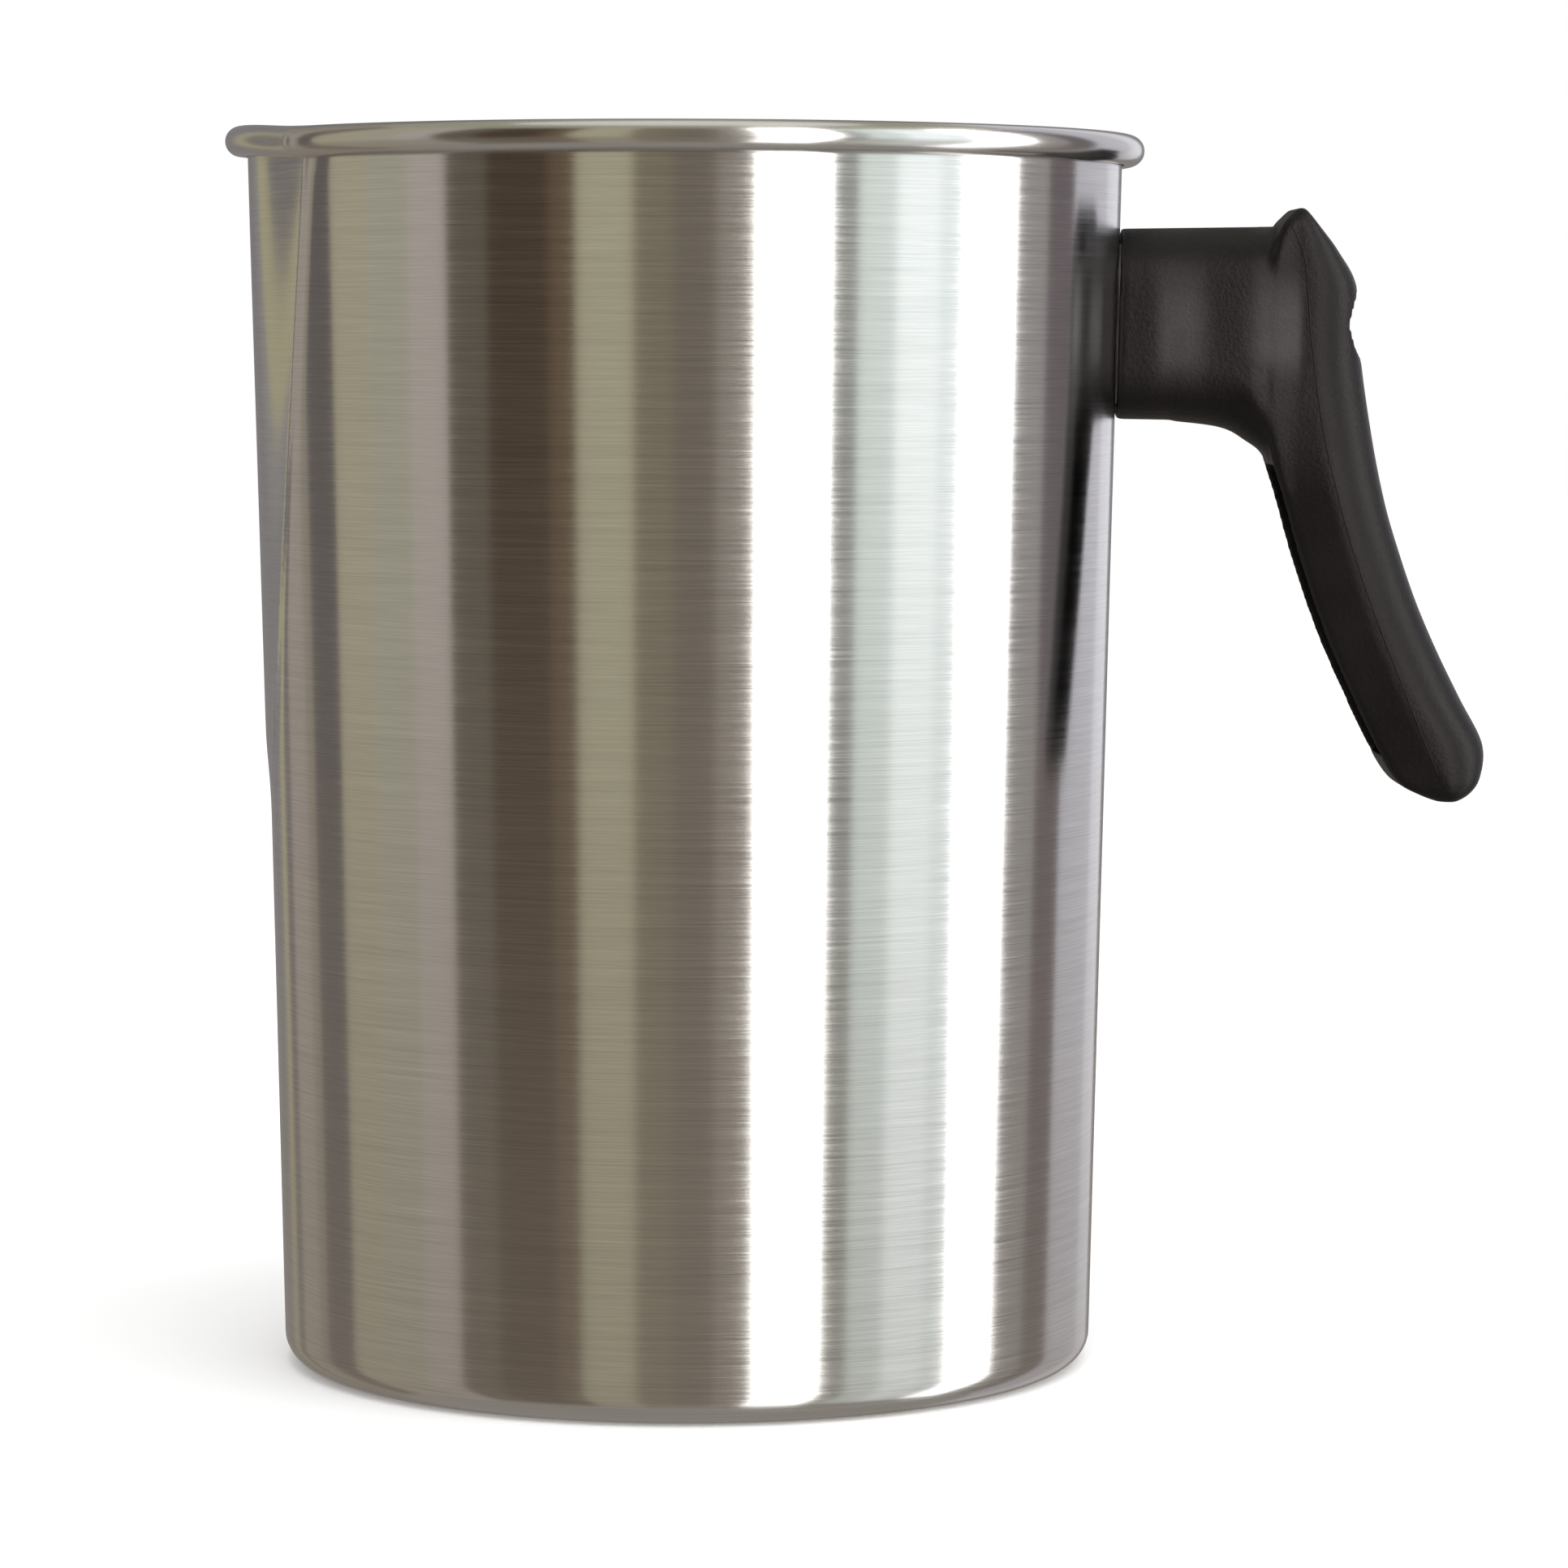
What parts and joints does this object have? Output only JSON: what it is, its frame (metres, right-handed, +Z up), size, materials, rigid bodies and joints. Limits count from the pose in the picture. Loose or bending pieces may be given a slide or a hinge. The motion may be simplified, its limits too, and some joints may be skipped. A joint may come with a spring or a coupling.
{
  "type": "candle melting pot",
  "caption": "Tall stainless steel candle melting pot with a pressed pouring spout, a rolled rim and a black moulded side handle held by one screw.",
  "frame": {"origin": "centre of the flat base, where it meets the table, on the can's axis", "axes": "+Z up, the handle points along +X, the spout along -X, +Y across the pot"},
  "size_m": [0.2336, 0.168, 0.2285],
  "materials": {
    "steel": "fine horizontal brushing",
    "bracket_steel": "dull stamped sheet",
    "handle_plastic": "satin, fine moulded grain",
    "fixing_steel": "bright zinc plate"
  },
  "bodies": {
    "root": {"pot_body": "steel", "handle": "handle_plastic", "handle_bracket": "bracket_steel", "weld_nut": "fixing_steel", "handle_screw": "fixing_steel", "flat_washer": "fixing_steel", "spring_washer": "fixing_steel"}
  },
  "joints": []
}
